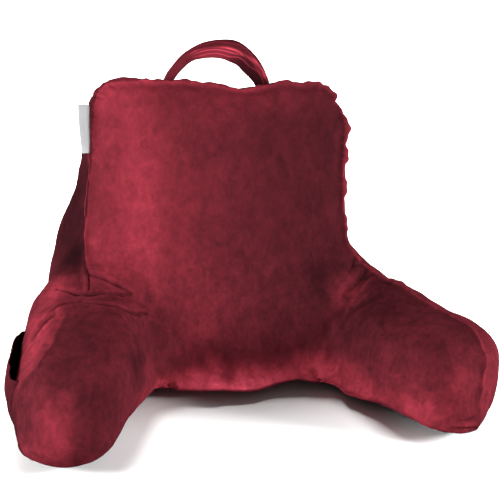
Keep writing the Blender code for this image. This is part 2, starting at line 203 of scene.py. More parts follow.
# The backrest's edges lie in one leaning plane: a place across it and a place up its slope.
RECLINE = math.radians(22)
PANEL_FOOT_Y = -0.110
Edge = namedtuple("Edge", "x up")
BACKREST_EDGE = (
    Edge(-0.235, 0.250), Edge(-0.232, 0.300), Edge(-0.229, 0.360), Edge(-0.227, 0.420), Edge(-0.227, 0.468),
    Edge(-0.206, 0.505), Edge(-0.165, 0.511), Edge(-0.110, 0.502), Edge(-0.060, 0.503), Edge(0.000, 0.492),
    Edge(0.050, 0.490), Edge(0.110, 0.497), Edge(0.160, 0.495), Edge(0.188, 0.484), Edge(0.206, 0.455),
    Edge(0.210, 0.420), Edge(0.205, 0.360), Edge(0.205, 0.290), Edge(0.218, 0.210),
)
VOXEL = 0.010
EVEN_ROUNDS = 9
PRESSURE = 4.0
SWELL_CAP = 0.010
SETTLE_FRAMES = 20


def leaning(edge):
    """The point that lies that far across and up the backrest's leaning plane."""
    return Place(edge.x, PANEL_FOOT_Y + edge.up * math.sin(RECLINE), edge.up * math.cos(RECLINE))


def curve_through(rows, count):
    """The rows' columns at evenly spaced places on a Catmull-Rom curve through them."""
    table = np.array(rows, float)
    last = len(table) - 1
    place = np.linspace(0, last, count)
    start = np.minimum(place.astype(int), last - 1)
    t = (place - start)[:, None]
    a, b, c, d = (table[np.clip(start + k, 0, last)] for k in (-1, 0, 1, 2))
    return 0.5 * (2 * b + (c - a) * t + (2 * a - 5 * b + 4 * c - d) * t**2 + (3 * b - a - 3 * c + d) * t**3)


def smooth_line(points, step):
    """A curve through the points, read about every step along it."""
    long = np.linalg.norm(np.diff(np.array(points, float), axis=0), axis=1).sum()
    return curve_through(points, max(2, round(long / step)))


def tree_of(mesh):
    return BVHTree.FromPolygons([v.co for v in mesh.vertices], [tuple(f.vertices) for f in mesh.polygons])


def laid_on(tree, points, step):
    """The smooth line through the points, each of its places moved to the nearest on the skin."""
    return np.array([tree.find_nearest(Vector(point))[0] for point in smooth_line(points, step)])


def rows_of(items, name, wide, kind=float):
    """That property of every vertex or edge, as an array with one row for each."""
    values = np.empty(len(items) * wide, kind)
    items.foreach_get(name, values)
    return values.reshape(-1, wide)


def points_of(mesh):
    return rows_of(mesh.vertices, "co", 3)


def normals_of(mesh):
    return rows_of(mesh.vertices, "normal", 3)


def edges_of(mesh):
    return rows_of(mesh.edges, "vertices", 2, int)


def move_points(mesh, points):
    mesh.vertices.foreach_set("co", points.astype(np.float32).ravel())
    mesh.update()


def store(mesh, name, values):
    """Keeps one number for each point of the mesh under that name, for the material to read."""
    kept = mesh.attributes.get(name) or mesh.attributes.new(name, "FLOAT", "POINT")
    kept.data.foreach_set("value", values.astype(np.float32))


def to_line(points, line):
    """For each point: its distance to a line of short straight stretches, how far along the line the
    nearest place is, that place, and the direction of the line there."""
    nearest = np.full(len(points), np.inf)
    place = np.zeros(len(points))
    spot = np.zeros_like(points)
    way = np.zeros_like(points)
    before = 0.0
    for start, end in zip(line, line[1:]):
        run = end - start
        long = np.linalg.norm(run)
        share = np.clip((points - start) @ run / long**2, 0, 1)
        on = start + share[:, None] * run
        away = np.linalg.norm(points - on, axis=1)
        closer = away < nearest
        nearest[closer] = away[closer]
        place[closer] = before + share[closer] * long
        spot[closer] = on[closer]
        way[closer] = run / long
        before += long
    return nearest, place, spot, way


def averaged(points, edges, weight, rounds):
    """Moves each point towards the middle of its neighbours by its weight, a number of times."""
    count = np.bincount(edges.ravel(), minlength=len(points))[:, None]
    for _ in range(rounds):
        total = np.zeros_like(points)
        for k in range(3):
            total[:, k] = np.bincount(edges[:, 0], points[edges[:, 1], k], len(points))
            total[:, k] += np.bincount(edges[:, 1], points[edges[:, 0], k], len(points))
        points = points + weight * (total / count - points)
    return points


def lumps(points, long, seed, waves=40):
    """Soft random unevenness between about -1 and 1: a sum of sine waves about that long, each in a
    random direction with a random phase."""
    random = np.random.default_rng(seed)
    ways = random.normal(size=(waves, 3))
    ways /= np.linalg.norm(ways, axis=1)[:, None]
    ways *= 2 * np.pi / (long * random.uniform(0.7, 1.5, (waves, 1)))
    phases = random.uniform(0, 2 * np.pi, waves)
    return np.sin(points @ ways.T + phases).sum(axis=1) / math.sqrt(waves / 2) / 2


def bump_at(away, wide):
    """A bell curve of the distance: 1 on the line, a third at that width."""
    return np.exp(-((away / wide) ** 2))


def merged_copy(node, name):
    """The CAD node's loose triangles as one joined mesh in a new object."""
    work = bmesh.new()
    work.from_mesh(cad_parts[node].data)
    bmesh.ops.remove_doubles(work, verts=work.verts, dist=0.00001)
    mesh = bpy.data.meshes.new(name)
    work.to_mesh(mesh)
    work.free()
    made = bpy.data.objects.new(name, mesh)
    scene.collection.objects.link(made)
    return made


def apply_modifiers(thing):
    """Replaces the object's mesh by what its modifiers make of it."""
    depsgraph = bpy.context.evaluated_depsgraph_get()
    mesh = bpy.data.meshes.new_from_object(thing.evaluated_get(depsgraph))
    thing.modifiers.clear()
    thing.data = mesh
    return mesh


def swollen(thing, pins):
    """Blows the filled cover up by Blender's cloth simulation, with gravity off and the pinned points
    held, then lets no point move further than the cap."""
    before = points_of(thing.data)
    group = thing.vertex_groups.new(name="sewn")
    for tenth in range(1, 11):
        chosen = np.flatnonzero(np.round(pins * 10) == tenth)
        group.add([int(i) for i in chosen], tenth / 10, "REPLACE")
    filling = thing.modifiers.new("filling", "CLOTH")
    cloth = filling.settings
    cloth.use_pressure = True
    cloth.uniform_pressure_force = PRESSURE
    cloth.effector_weights.gravity = 0
    cloth.vertex_group_mass = "sewn"
    cloth.pin_stiffness = 1.0
    cloth.tension_stiffness = 12
    cloth.compression_stiffness = 8
    cloth.shear_stiffness = 4
    cloth.bending_stiffness = 0.4
    cloth.shrink_min = -0.012
    filling.point_cache.frame_end = SETTLE_FRAMES
    for number in range(1, SETTLE_FRAMES + 1):
        scene.frame_set(number)
    mesh = apply_modifiers(thing)
    move = points_of(mesh) - before
    long = np.linalg.norm(move, axis=1)[:, None] + 1e-9
    move_points(mesh, before + move / long * SWELL_CAP * np.tanh(long / SWELL_CAP))
    scene.frame_set(1)


cover = merged_copy("pillow_body", "velvet_cover")
remesh = cover.modifiers.new("even_grain", "REMESH")
remesh.mode = "VOXEL"
remesh.voxel_size = VOXEL
apply_modifiers(cover)
skin = cover.data
points = averaged(points_of(skin), edges_of(skin), 0.5, EVEN_ROUNDS)
points[:, 2] = np.where(points_of(skin)[:, 2] < VOXEL / 2, 0.0, points[:, 2])
move_points(skin, points)

seam_points = list(LEFT_ARM_SEAM) + [leaning(edge) for edge in BACKREST_EDGE] + list(RIGHT_ARM_SEAM)
seam_line = laid_on(tree_of(skin), seam_points, 0.012)


def beside(points, normals, line):
    """For each point: its distance to the line, its place along it, and which side of it the point is
    on: 1 on the front panel's side, where the line's own direction turned left about the normal points."""
    away, place, spot, way = to_line(points, line)
    side = np.sign(np.einsum("ij,ij->i", np.cross(points - spot, way), normals))
    return away, place, side


def panel_sides(mesh, near=0.030):
    """1 on the front panel and -1 on the strip and the back: read off beside the seam, then spread from
    neighbour to neighbour over the rest of the skin, but not across the underside."""
    points, edges = points_of(mesh), edges_of(mesh)
    away, _, side = beside(points, normals_of(mesh), seam_line)
    under = points[:, 2] < 0.004
    side[(away > near) | under] = 0
    while True:
        total = np.bincount(edges[:, 0], side[edges[:, 1]], len(side))
        total += np.bincount(edges[:, 1], side[edges[:, 0]], len(side))
        fresh = (side == 0) & ~under & (total != 0)
        if not fresh.any():
            return side
        side[fresh] = np.sign(total[fresh])


store(skin, "side", panel_sides(skin))
away = to_line(points_of(skin), seam_line)[0]
held = np.maximum(bump_at(away, 0.010), points_of(skin)[:, 2] < 0.012)
swollen(cover, np.clip(held, 0, 1))
finer = cover.modifiers.new("finer", "SUBSURF")
finer.levels = finer.render_levels = 1
skin = apply_modifiers(cover)

# How the seam stands proud and how its cloth is gathered, stretch by stretch from the left tip to the
# right tip. place is a share of the seam's length, lift a share of the ridge's full height, gather is how
# deep the puckers are, and rim is how much painted highlight lies on the ridge.
SEAM_LIFT = 0.0050
SEAM_WIDE = 0.0042
PINCH_DEEP = 0.0020
PINCH_OUT = 0.012
PINCH_WIDE = 0.008
PUCKER_LONG = 0.054
SMALL_PUCKER_LONG = 0.019
PUCKER_REACH = 0.022
Stretch = namedtuple("Stretch", "place lift gather rim")
SEAM_STRETCHES = (
    Stretch(0.00, 0.4, 0.0006, 0.0), Stretch(0.12, 0.2, 0.0004, 0.0), Stretch(0.17, 0.2, 0.0004, 0.0),
    Stretch(0.24, 0.5, 0.0006, 0.1), Stretch(0.36, 0.9, 0.0006, 0.1), Stretch(0.42, 1.0, 0.0012, 0.4),
    Stretch(0.46, 1.0, 0.0018, 0.5), Stretch(0.56, 1.0, 0.0020, 0.5), Stretch(0.62, 1.1, 0.0036, 0.4),
    Stretch(0.70, 1.0, 0.0034, 0.4), Stretch(0.77, 1.0, 0.0026, 0.4), Stretch(0.80, 0.9, 0.0024, 0.3),
    Stretch(0.88, 0.5, 0.0010, 0.1), Stretch(0.95, 0.5, 0.0016, 0.1), Stretch(1.00, 0.2, 0.0008, 0.0),
)

# The folds where the cover is drawn in at the arms' roots and at the right tip, and the tucks in the
# backrest's left corner. Each is a soft trough along a line, with a sharp crease in its middle and a raised
# lip on both sides. One with a depth below zero is a raised crease instead. Its line's places are x, y, z.
Fold = namedtuple("Fold", "deep wide lip line")
FOLDS = (
    Fold(0.0016, 0.0030, 0.0008, (  # the left arm's root
        (-0.239, -0.063, 0.208), (-0.238, -0.086, 0.200), (-0.240, -0.117, 0.194), (-0.243, -0.136, 0.189),
    )),
    Fold(0.0026, 0.0036, 0.0012, (
        (-0.240, -0.092, 0.200), (-0.217, -0.104, 0.196), (-0.190, -0.121, 0.186), (-0.172, -0.126, 0.178),
    )),
    Fold(0.0050, 0.0038, 0.0016, (
        (-0.296, -0.108, 0.182), (-0.268, -0.132, 0.187), (-0.240, -0.140, 0.187), (-0.205, -0.137, 0.182),
        (-0.174, -0.127, 0.179),
    )),
    Fold(0.0036, 0.0032, 0.0014, (
        (-0.258, -0.160, 0.188), (-0.245, -0.168, 0.185), (-0.226, -0.177, 0.182), (-0.197, -0.175, 0.175),
        (-0.150, -0.150, 0.155),
    )),
    Fold(0.0040, 0.0045, 0.0020, (
        (-0.318, -0.172, 0.179), (-0.302, -0.169, 0.184), (-0.277, -0.158, 0.188), (-0.258, -0.158, 0.189),
    )),
    Fold(0.0110, 0.0070, 0.0040, (  # above the pocket
        (-0.345, -0.200, 0.150), (-0.325, -0.189, 0.173), (-0.310, -0.184, 0.182),
    )),
    Fold(0.0022, 0.0070, 0.0010, (  # the right arm's root
        (0.262, -0.062, 0.172), (0.222, -0.091, 0.175), (0.203, -0.109, 0.169), (0.189, -0.124, 0.161),
    )),
    Fold(0.0022, 0.0080, 0.0012, (
        (0.240, -0.140, 0.168), (0.222, -0.145, 0.166), (0.175, -0.146, 0.137),
    )),
    Fold(0.0016, 0.0045, 0.0008, (
        (0.232, -0.036, 0.200), (0.215, -0.062, 0.185), (0.205, -0.075, 0.180),
    )),
    Fold(0.0016, 0.0045, 0.0008, (
        (0.250, -0.055, 0.186), (0.232, -0.078, 0.178), (0.224, -0.085, 0.176),
    )),
    Fold(0.0026, 0.0045, 0.0012, (  # the right tip's foot
        (0.310, -0.345, 0.028), (0.332, -0.333, 0.034), (0.350, -0.318, 0.032),
    )),
    Fold(0.0024, 0.0040, 0.0010, (
        (0.318, -0.345, 0.046), (0.342, -0.330, 0.052),
    )),
    Fold(-0.0016, 0.0024, 0.0000, (  # the right arm's root again
        (0.262, -0.062, 0.169), (0.230, -0.102, 0.168), (0.206, -0.126, 0.156), (0.176, -0.149, 0.127),
    )),
    Fold(-0.0014, 0.0022, 0.0000, (
        (0.238, -0.118, 0.170), (0.215, -0.133, 0.163), (0.190, -0.148, 0.142),
    )),
    Fold(0.0012, 0.0028, 0.0003, (  # the left corner
        (-0.232, 0.080, 0.444), (-0.216, 0.066, 0.443), (-0.200, 0.062, 0.440),
    )),
    Fold(0.0010, 0.0028, 0.0003, (
        (-0.206, 0.092, 0.478), (-0.192, 0.076, 0.466), (-0.182, 0.070, 0.456),
    )),
)
FOLD_STEP = 0.006
CREASE_WIDE = 0.0014
CREASE_DEEP = 0.45  # of the fold's own depth

skin_tree = tree_of(skin)
fold_lines = [laid_on(skin_tree, fold.line, FOLD_STEP) for fold in FOLDS]


def refine_near(mesh, lines, reach):
    """Splits every edge of the skin that lies within that reach of one of the lines."""
    points = points_of(mesh)
    away = np.min([to_line(points, line)[0] for line in lines], axis=0)
    edges = edges_of(mesh)
    near = np.flatnonzero((away[edges] < reach).all(axis=1))
    work = bmesh.new()
    work.from_mesh(mesh)
    work.edges.ensure_lookup_table()
    chosen = [work.edges[int(i)] for i in near]
    bmesh.ops.subdivide_edges(work, edges=chosen, cuts=1, use_grid_fill=True)
    work.to_mesh(mesh)
    work.free()
    mesh.update()


# The skin near the seam and the folds is finer, so that the ridge, the gathers and the creases are crisp.
for reach in (0.014, 0.0045):
    refine_near(skin, [seam_line, *fold_lines], reach)
move_points(skin, averaged(points_of(skin), edges_of(skin), 0.4, 3))

# Between the arms and along their inner sides the panel's lower edge stands a little off the floor, and
# the filling pushes it forward over a shadow gap. Each row is a place along that edge and how far it moves.
Curl = namedtuple("Curl", "x y lift push")
CURL = (
    Curl(-0.255, -0.372, 0.001, 0.000), Curl(-0.190, -0.320, 0.001, 0.002),
    Curl(-0.158, -0.250, 0.005, 0.002), Curl(-0.142, -0.190, 0.018, 0.004),
    Curl(-0.118, -0.158, 0.024, 0.026), Curl(-0.080, -0.147, 0.021, 0.035),
    Curl(0.000, -0.145, 0.019, 0.036), Curl(0.070, -0.142, 0.015, 0.036),
    Curl(0.135, -0.144, 0.022, 0.024), Curl(0.160, -0.156, 0.016, 0.034),
    Curl(0.178, -0.180, 0.013, 0.042), Curl(0.205, -0.222, 0.018, 0.027),
    Curl(0.245, -0.290, 0.018, 0.016), Curl(0.300, -0.340, 0.012, 0.007),
    Curl(0.350, -0.320, 0.000, 0.000),
)
CURL_REACH = 0.034
UNDERCUT = 0.065  # how far in the underside rises with it

# Where the filling is drawn in or bulges: each a place, how far it reaches, and how it moves the cover.
Press = namedtuple("Press", "x y z wide deep tall push_x push_y push_z")
PRESSES = (
    Press(-0.318, -0.120, 0.160, 0.050, 0.050, 0.055, 0.012, 0.000, 0.000),  # the left arm's root
    Press(-0.306, -0.022, 0.152, 0.036, 0.035, 0.026, 0.015, 0.000, 0.000),
    Press(-0.250, 0.118, 0.210, 0.050, 0.050, 0.070, -0.005, 0.000, 0.000),  # the backrest's left side
    Press(-0.345, -0.200, 0.145, 0.060, 0.065, 0.060, 0.014, 0.000, -0.002),  # above the pocket
    Press(-0.352, -0.270, 0.158, 0.045, 0.040, 0.030, 0.008, 0.000, 0.000),
    Press(-0.350, -0.350, 0.030, 0.050, 0.050, 0.050, -0.010, -0.005, 0.000),  # the left tip
    Press(-0.180, -0.300, 0.040, 0.045, 0.080, 0.060, -0.008, 0.003, 0.000),  # its inner side
    Press(0.345, -0.340, 0.020, 0.060, 0.050, 0.040, 0.005, -0.018, 0.000),  # the right tip
    Press(0.300, -0.118, 0.168, 0.035, 0.035, 0.030, 0.003, 0.000, 0.005),  # the right arm's top
    Press(0.370, -0.218, 0.157, 0.030, 0.030, 0.030, 0.003, 0.000, 0.004),
    Press(0.225, 0.060, 0.400, 0.040, 0.060, 0.050, 0.007, 0.000, 0.000),  # the backrest's right side
    Press(0.176, 0.065, 0.458, 0.020, 0.040, 0.020, 0.003, 0.000, 0.012),  # its upper corners
    Press(0.206, 0.060, 0.435, 0.012, 0.040, 0.010, -0.010, 0.000, -0.002),
    Press(-0.225, 0.055, 0.445, 0.022, 0.040, 0.028, -0.006, 0.000, 0.006),
)

FILLING_LONG = 0.110
FILLING_DEEP = 0.0022
CLOTH_LONG = 0.034
CLOTH_DEEP = 0.0007


def seam_relief(points):
    """How far each point stands out along its normal for the seam: a narrow ridge on the seam, a shallow
    pinch on both sides of it, and puckers square to it that die away from it. A pucker is a sine of the
    place along the seam, whose phase wanders so that no two are alike. Also how much painted highlight lies
    on the ridge."""
    away, place, _, _ = to_line(points, seam_line)
    share = place / np.linalg.norm(np.diff(seam_line, axis=0), axis=1).sum()
    stops, lifts, gathers, rims = zip(*SEAM_STRETCHES)
    lift, gather, rim = (np.interp(share, stops, column) for column in (lifts, gathers, rims))
    wander = lumps(np.outer(place, (1, 0, 0)), 0.16, seed=3)
    uneven = 1 + 0.25 * lumps(np.outer(place, (1, 0, 0)), 0.05, seed=4)
    ridge = SEAM_LIFT * lift * uneven * bump_at(away, SEAM_WIDE)
    pinch = PINCH_DEEP * lift * bump_at(away - PINCH_OUT, PINCH_WIDE)
    pucker = np.sin(2 * np.pi * place / PUCKER_LONG + 2 * wander) * np.exp(-away / PUCKER_REACH)
    small = np.sin(2 * np.pi * place / SMALL_PUCKER_LONG + 4 * wander) * np.exp(-2.5 * away / PUCKER_REACH)
    return ridge - pinch + gather * (pucker + 0.35 * small), rim * bump_at(away, 1.3 * SEAM_WIDE)


def fold_relief(points):
    """How far each point stands out for the folds. Across a fold the trough is a bell curve with a much
    narrower one for the crease, and a lip on each side. Along it a half sine fades all of them out."""
    out = np.zeros(len(points))
    wander = 1 + 0.25 * lumps(points, 0.03, seed=6)
    for fold, line in zip(FOLDS, fold_lines):
        away, place, _, _ = to_line(points, line)
        long = np.linalg.norm(np.diff(line, axis=0), axis=1).sum()
        fade = np.sin(np.pi * np.clip(0.08 + 0.84 * place / long, 0, 1)) ** 0.7
        trough = bump_at(away, fold.wide * wander) + CREASE_DEEP * bump_at(away, CREASE_WIDE)
        lip = bump_at(away - 1.9 * fold.wide, 1.2 * fold.wide)
        out += fade * (fold.lip * lip - fold.deep * trough)
    return out


def pressed(points, presses):
    """The points moved by each press, by a bell curve of the distance from its middle, measured in its own
    width, depth and height."""
    for press in presses:
        share = np.exp(-(((points - np.array(press[:3])) / np.array(press[3:6])) ** 2).sum(axis=1))
        points = points + np.outer(share, press[6:])
    return points


points, normals = points_of(skin), normals_of(skin)
off_floor = np.clip((points[:, 2] - 0.002) / 0.010, 0, 1)
seam_out, seam_painted_highlight = seam_relief(points)
folded = fold_relief(points)
out = seam_out + folded
out += FILLING_DEEP * lumps(points, FILLING_LONG, seed=1) + CLOTH_DEEP * lumps(points, CLOTH_LONG, seed=2)
points = pressed(points + normals * (out * off_floor)[:, None], PRESSES)
curl = smooth_line(CURL, 0.012)
away, place, spot, way = to_line(points, np.column_stack([curl[:, :2], np.zeros(len(curl))]))
lift, push = (np.interp(place, np.linspace(0, place.max(), len(curl)), curl[:, k]) for k in (2, 3))
forward = np.column_stack([way[:, 1], -way[:, 0], np.zeros(len(points))])
inside = -np.einsum("ij,ij->i", points - spot, forward)
reach = np.where((inside > 0) & (points[:, 2] < 0.010), UNDERCUT, CURL_REACH)
share = bump_at(away, reach) * (1 + 0.12 * lumps(points, 0.06, seed=7))
points = points + share[:, None] * (push[:, None] * forward + np.outer(lift, (0, 0, 1)))
points[:, 2] = np.maximum(points[:, 2], 0.0)
move_points(skin, points)

# Which way the pile lies, with painted light and shade laid into the same tone: 0 is dark and 1 is light,
# and some places lie beyond both. The front panel is lighter from right to left, partly for its pile and
# partly as painted light from the left, and each further stroke is a soft blot of that tone over it.
Stroke = namedtuple("Stroke", "x y z wide deep tall tone force")
TONE_ACROSS = (
    (-0.23, 0.70), (-0.20, 0.80), (-0.17, 1.00), (-0.14, 1.06), (-0.10, 0.78), (-0.05, 0.58), (0.03, 0.38),
    (0.12, 0.25), (0.20, 0.16),
)
FRONT_STROKES = (
    Stroke(0.02, 0.05, 0.455, 0.13, 0.06, 0.030, 0.92, 0.7),  # under the top seam
    Stroke(-0.19, 0.06, 0.450, 0.04, 0.05, 0.030, 1.20, 0.8),  # its left corner
    Stroke(-0.08, 0.02, 0.40, 0.06, 0.06, 0.035, 0.35, 0.4),  # blots below it
    Stroke(-0.096, 0.032, 0.432, 0.03, 0.04, 0.025, 0.50, 0.5),
    Stroke(-0.012, 0.030, 0.432, 0.03, 0.04, 0.025, 0.85, 0.5),
    # Painted shade: the hollow by the left arm is darkened where it turns away from the light.
    Stroke(-0.14, -0.17, 0.12, 0.06, 0.06, 0.09, 0.20, 0.9),  # the hollow by the left arm
    Stroke(-0.10, -0.15, 0.06, 0.06, 0.06, 0.05, 0.34, 0.7),
    Stroke(-0.05, -0.13, 0.11, 0.05, 0.05, 0.04, 0.95, 0.5),
    Stroke(-0.27, -0.28, 0.15, 0.10, 0.14, 0.11, 0.34, 1.0),  # the left arm
    Stroke(-0.20, -0.18, 0.19, 0.07, 0.06, 0.04, 0.42, 0.9),
    Stroke(-0.242, -0.155, 0.187, 0.02, 0.025, 0.02, 0.60, 0.7),
    Stroke(-0.275, -0.275, 0.180, 0.03, 0.04, 0.03, 0.10, 0.6),
    Stroke(-0.307, -0.345, 0.150, 0.03, 0.04, 0.03, 0.15, 0.6),
    Stroke(-0.19, -0.33, 0.07, 0.08, 0.10, 0.08, 0.40, 0.9),  # its inner side
    Stroke(-0.18, -0.27, 0.13, 0.03, 0.06, 0.03, 0.02, 0.8),
    Stroke(-0.205, -0.060, 0.220, 0.03, 0.05, 0.04, 1.05, 0.8),  # the corners above the arms' roots
    Stroke(0.158, -0.092, 0.178, 0.025, 0.03, 0.03, -0.25, 0.8),
    Stroke(-0.33, -0.37, 0.08, 0.05, 0.05, 0.05, 0.80, 1.0),  # the left tip: its pile stroked upwards, and a painted highlight on its rounded end
    Stroke(-0.358, -0.335, 0.09, 0.028, 0.04, 0.06, 0.00, 0.9),
    # Painted light: the lower band is lightened where its downward curl and the floor's shadow shade it.
    Stroke(0.00, -0.17, 0.022, 0.17, 0.06, 0.025, 3.00, 1.0),  # the lower band
    Stroke(-0.012, -0.142, 0.040, 0.014, 0.04, 0.016, 1.00, 0.9),
    Stroke(-0.040, -0.142, 0.055, 0.012, 0.04, 0.020, 1.40, 0.7),
    Stroke(-0.060, -0.150, 0.025, 0.035, 0.04, 0.018, 2.80, 0.7),
    Stroke(-0.106, -0.150, 0.050, 0.030, 0.04, 0.024, 0.35, 0.5),
    Stroke(0.14, -0.16, 0.03, 0.06, 0.05, 0.035, 1.90, 0.9),
    Stroke(0.24, -0.17, 0.17, 0.06, 0.08, 0.03, 0.06, 1.0),  # the right arm's top
    Stroke(0.195, -0.105, 0.160, 0.03, 0.04, 0.03, 0.85, 0.8),  # the ridge at its root
    Stroke(0.27, -0.27, 0.14, 0.08, 0.09, 0.04, 0.50, 1.0),
    Stroke(0.320, -0.335, 0.115, 0.025, 0.04, 0.03, 0.90, 0.7),
    Stroke(0.20, -0.21, 0.03, 0.07, 0.09, 0.045, 1.15, 1.0),  # its inner side
    Stroke(0.27, -0.33, 0.04, 0.08, 0.08, 0.065, 1.10, 1.0),
    Stroke(0.33, -0.34, 0.10, 0.03, 0.05, 0.06, 0.80, 0.9),  # its tip
    Stroke(0.355, -0.318, 0.09, 0.012, 0.03, 0.05, 0.35, 0.8),
)
STRIP_TONE = 0.34
STRIP_STROKES = (
    # The left side of the backrest is dark for its pile's lie and also as painted shade.
    Stroke(-0.27, 0.06, 0.27, 0.07, 0.14, 0.15, -0.20, 1.0),  # the left side of the backrest
    Stroke(-0.34, -0.22, 0.16, 0.06, 0.14, 0.06, 0.90, 1.0),  # the left arm's outer side
    Stroke(-0.258, -0.030, 0.202, 0.035, 0.050, 0.035, -0.32, 0.9),  # the strip at its root
    Stroke(-0.285, -0.105, 0.180, 0.045, 0.036, 0.020, 1.00, 1.0),
    Stroke(-0.36, -0.32, 0.06, 0.05, 0.06, 0.07, 0.05, 1.0),  # and at its tip
    Stroke(0.24, 0.04, 0.32, 0.05, 0.14, 0.14, 0.80, 1.0),  # the right side of the backrest
    Stroke(0.36, -0.22, 0.13, 0.07, 0.14, 0.08, 0.62, 1.0),  # the right arm's outer side
    Stroke(0.375, -0.30, 0.09, 0.03, 0.05, 0.06, 0.65, 1.0),
    Stroke(0.00, 0.12, 0.46, 0.22, 0.06, 0.03, 0.30, 0.8),  # the top
    Stroke(0.05, 0.20, 0.22, 0.16, 0.10, 0.14, 0.46, 0.8),  # the back
)
TIP_FLIP_X = -0.290
TIP_FLIP_SOFT = 0.006
TIP_FLIP_TONE = 0.30
SEAM_SOFT = 0.0015
# Painted shade down in the folds and painted highlights on their lips: how strong, and the depth where it is
# full.
FOLD_PAINTED_SHADE = 0.45
FOLD_PAINTED_SHADE_DEEP = 0.006
# Painted shade on the underside: faces that look down close to the floor are darkened.
UNDERSIDE_PAINTED_SHADE = -0.3
UNDERSIDE_FACING = 0.55, 0.80  # how squarely a face looks down where the underside begins and is full
UNDERSIDE_TOP = 0.008, 0.016  # and how high off the floor it begins to end and has ended


def painted(tone, points, strokes):
    """The tone under one soft blot after another: each mixes its own tone in by a bell curve of the
    distance from its middle, measured in its own width, depth and height."""
    for stroke in strokes:
        middle = np.array(stroke[:3])
        size = np.array(stroke[3:6])
        share = stroke.force * np.exp(-(((points - middle) / size) ** 2).sum(axis=1))
        tone = tone + share * (stroke.tone - tone)
    return tone


def eased(value, low, high):
    """0 below low, 1 above high, and a smooth step between them."""
    t = np.clip((value - low) / (high - low), 0, 1)
    return t * t * (3 - 2 * t)


def nap_and_painted_light_of(points, side_away):
    """The lie of the pile on the front panel and on the strip, with painted light and shade laid in, mixed
    across the seam between them. The left tip has an upright boundary where two strokes meet."""
    x, y, z = points.T
    front = painted(np.interp(x, *zip(*TONE_ACROSS)), points, FRONT_STROKES)
    tip = eased(-y, 0.30, 0.34) * eased(-x, 0.20, 0.24) * eased(-z, -0.16, -0.13)
    flip = 0.5 - eased(x, TIP_FLIP_X - TIP_FLIP_SOFT, TIP_FLIP_X + TIP_FLIP_SOFT)
    front = front + TIP_FLIP_TONE * tip * flip
    strip = painted(np.full(len(points), STRIP_TONE), points, STRIP_STROKES)
    share = eased(side_away, -SEAM_SOFT, SEAM_SOFT)
    return strip + share * (front - strip)


def painted_relief_light(folded, seam_painted_highlight):
    """Painted shade down in a fold and a painted highlight on its lips, and a painted highlight on the seam.
    """
    return FOLD_PAINTED_SHADE * np.clip(folded, -FOLD_PAINTED_SHADE_DEEP, 0.5 * FOLD_PAINTED_SHADE_DEEP) / FOLD_PAINTED_SHADE_DEEP + seam_painted_highlight


points, normals = points_of(skin), normals_of(skin)
away, place, side = beside(points, normals, seam_line)
kept_side = np.empty(len(points), np.float32)
skin.attributes["side"].data.foreach_get("value", kept_side)
side = np.where(away < 0.012, side, np.sign(kept_side))
nap = nap_and_painted_light_of(points, side * away) + painted_relief_light(folded, seam_painted_highlight)
# Painted shade: faces that look down close to the floor are darkened.
under = eased(-normals[:, 2], *UNDERSIDE_FACING) * (1 - eased(points[:, 2], *UNDERSIDE_TOP))
store(skin, "nap", nap + under * (UNDERSIDE_PAINTED_SHADE - nap))
BRUSHED_LOW, BRUSHED_HIGH = 0.10, 0.34  # below and above these heights the pile is most and least marked
store(skin, "brushed", 1.0 - 0.3 * eased(points[:, 2], BRUSHED_LOW, BRUSHED_HIGH))

# The velvet is a dense, short, dark red polyester pile. Brushed up it looks light, and brushed down dark,
# so its colour follows the pile's lie and the painted light and shade kept with it, with blots, streaks
# and a fine grain where hands have marked it.

PILE_DARK_RED = 38 / 255  # as a screen value, where the tone is 0
PILE_TONE_RED = 58 / 255  # and how much is added where it is 1
PILE_GREEN = 0.30  # as shares of the red
PILE_BLUE = 0.39
PILE_PALER = 0.034  # and how much both grow for each step of tone above 1: a painted sheen on the lightest places
LEAST_TONE, MOST_TONE = -0.6, 3.6


def linear(value):
    """A screen value from 0 to 1 as the linear value that a shader takes."""
    return ((value + 0.055) / 1.055) ** 2.4


def pile_colour(tone):
    red = PILE_DARK_RED + PILE_TONE_RED * tone
    paler = PILE_PALER * max(0.0, tone - 1)
    return tuple(linear(max(0.0, red * share)) for share in (1.0, PILE_GREEN + paler, PILE_BLUE + paler))


